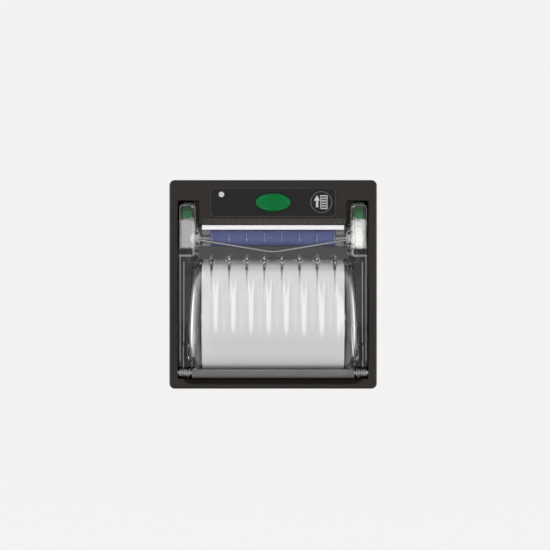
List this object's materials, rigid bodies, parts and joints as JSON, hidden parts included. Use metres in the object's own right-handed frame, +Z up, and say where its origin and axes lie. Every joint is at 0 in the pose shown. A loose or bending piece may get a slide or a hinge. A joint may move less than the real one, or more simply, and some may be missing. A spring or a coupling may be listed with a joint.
{
  "type": "receipt printer",
  "caption": "Square panel-mount thermal receipt printer with a ribbed clear paper cover, an oval release button and a feed key.",
  "frame": {"origin": "centre of the bezel's rear face, in the plane of the panel's front", "axes": "+X to the right seen from the front, +Y back into the panel, +Z up"},
  "size_m": [0.084, 0.0595, 0.0844],
  "materials": {
    "bezel_plastic": "fine spark-eroded grain, satin",
    "label_film": "velvet polyester film",
    "circuit_board": "green solder mask",
    "tear_steel": "blackened steel",
    "steel": "zinc plated",
    "spring_steel": "bright spring wire",
    "motor_steel": "zinc plated can",
    "frame_steel": "zinc plated sheet",
    "paper": "thermal paper, faint sheen",
    "core_board": "grey board",
    "black_plastic": "satin moulded",
    "housing_plastic": "fine grain",
    "bucket_plastic": "satin moulded",
    "chip_black": "moulded epoxy",
    "connector_black": "glass-filled nylon",
    "connector_green": "moulded",
    "clear_cover": "clear polycarbonate, polished",
    "guide_plastic": "grey acetal",
    "bush_plastic": "natural acetal",
    "platen_rubber": "ground silicone rubber",
    "gear_plastic": "natural acetal",
    "brass": "machined",
    "button_green": "polished moulding",
    "head_ceramic": "glazed ceramic",
    "aluminium": "extruded"
  },
  "bodies": {
    "root": {"bezel": "bezel_plastic", "keypad_label": "label_film", "key_board": "circuit_board", "tear_bar": "tear_steel", "hinge_pins": "steel", "torsion_springs": "spring_steel", "stepper_motor": "motor_steel", "paper_web": "paper", "mechanism_frame": "frame_steel", "head_springs": "spring_steel", "latch_spring": "spring_steel", "paper_sensor": "black_plastic", "rear_housing": "housing_plastic", "paper_bucket": "bucket_plastic", "rear_cover": "housing_plastic", "cover_screws": "steel", "frame_screws": "steel", "control_board": "circuit_board", "board_chips": "chip_black", "data_connector": "connector_black", "power_connector": "connector_green"},
    "lid": {"lid_cover": "clear_cover", "platen_guide": "guide_plastic", "platen_bushes": "bush_plastic"},
    "platen": {"platen_shaft": "steel", "platen_rubber": "platen_rubber", "platen_gear": "gear_plastic"},
    "roll": {"paper_roll": "paper", "roll_core": "core_board"},
    "idler": {"idler_gear": "gear_plastic"},
    "pinion": {"motor_pinion": "brass", "motor_shaft": "steel"},
    "button": {"release_button": "button_green"},
    "latch": {"latch_bar": "button_green"},
    "key": {"feed_key": "label_film"},
    "head": {"print_head": "head_ceramic", "heat_sink": "aluminium"},
    "jaw_left": {"clamp_jaw_left": "black_plastic"},
    "jaw_right": {"clamp_jaw_right": "black_plastic"},
    "jack_left": {"jack_screw_left": "steel"},
    "jack_right": {"jack_screw_right": "steel"}
  },
  "joints": [
    {"name": "lid_hinge", "type": "hinge", "parent": "root", "child": "lid", "pos_m": [0, -0.0028, -0.0358], "axis": [1, 0, 0], "range_deg": [0, 85], "deforming": ["torsion_springs"]},
    {"name": "paper_roll_spin", "type": "hinge", "parent": "root", "child": "roll", "pos_m": [0, 0.006, -0.01265], "axis": [1, 0, 0], "continuous": true},
    {"name": "platen_spin", "type": "hinge", "parent": "lid", "child": "platen", "pos_m": [0, 0.002, 0.01875], "axis": [1, 0, 0], "continuous": true},
    {"name": "idler_spin", "type": "hinge", "parent": "root", "child": "idler", "pos_m": [0.0348, 0.01282, 0.02165], "axis": [1, 0, 0], "continuous": true},
    {"name": "pinion_spin", "type": "hinge", "parent": "root", "child": "pinion", "pos_m": [0.0348, 0.01878, 0.03017], "axis": [1, 0, 0], "continuous": true},
    {"name": "release_button_press", "type": "slide", "parent": "root", "child": "button", "axis": [0, 1, 0], "range_m": [0, 0.0012], "stiffness_N_per_m": 400, "springref_m": -0.002, "deforming": ["latch_spring"]},
    {"name": "latch_pivot", "type": "hinge", "parent": "root", "child": "latch", "pos_m": [0, 0.007, 0.0255], "axis": [1, 0, 0], "range_deg": [-9.2, 0]},
    {"name": "feed_key_press", "type": "slide", "parent": "root", "child": "key", "axis": [0, 1, 0], "range_m": [0, 0.0004], "stiffness_N_per_m": 1200, "springref_m": -0.0005},
    {"name": "head_pivot", "type": "hinge", "parent": "root", "child": "head", "pos_m": [0, 0.0076, 0.016], "axis": [1, 0, 0], "range_deg": [-1.5, 0], "stiffness_Nm_per_rad": 0.05, "springref_deg": 2.01, "deforming": ["head_springs"]},
    {"name": "jack_screw_left_turn", "type": "hinge", "parent": "root", "child": "jack_left", "pos_m": [-0.0366, 0.014, -0.006], "axis": [0, 1, 0], "range_deg": [-3460, 3460]},
    {"name": "clamp_jaw_left_slide", "type": "slide", "parent": "root", "child": "jaw_left", "axis": [0, 1, 0], "range_m": [-0.0048, 0.0048]},
    {"name": "jack_screw_right_turn", "type": "hinge", "parent": "root", "child": "jack_right", "pos_m": [0.0366, 0.014, -0.006], "axis": [0, 1, 0], "range_deg": [-3460, 3460]},
    {"name": "clamp_jaw_right_slide", "type": "slide", "parent": "root", "child": "jaw_right", "axis": [0, 1, 0], "range_m": [-0.0048, 0.0048]}
  ],
  "couplings": [
    {"joint": "platen_spin", "follows": "paper_roll_spin", "ratio": 6.11},
    {"joint": "idler_spin", "follows": "paper_roll_spin", "ratio": -3.3944},
    {"joint": "pinion_spin", "follows": "paper_roll_spin", "ratio": 7.6375},
    {"joint": "latch_pivot", "follows": "release_button_press", "rad_per_m": -129.87},
    {"joint": "jack_screw_left_turn", "follows": "clamp_jaw_left_slide", "rad_per_m": -12566},
    {"joint": "jack_screw_right_turn", "follows": "clamp_jaw_right_slide", "rad_per_m": -12566}
  ]
}
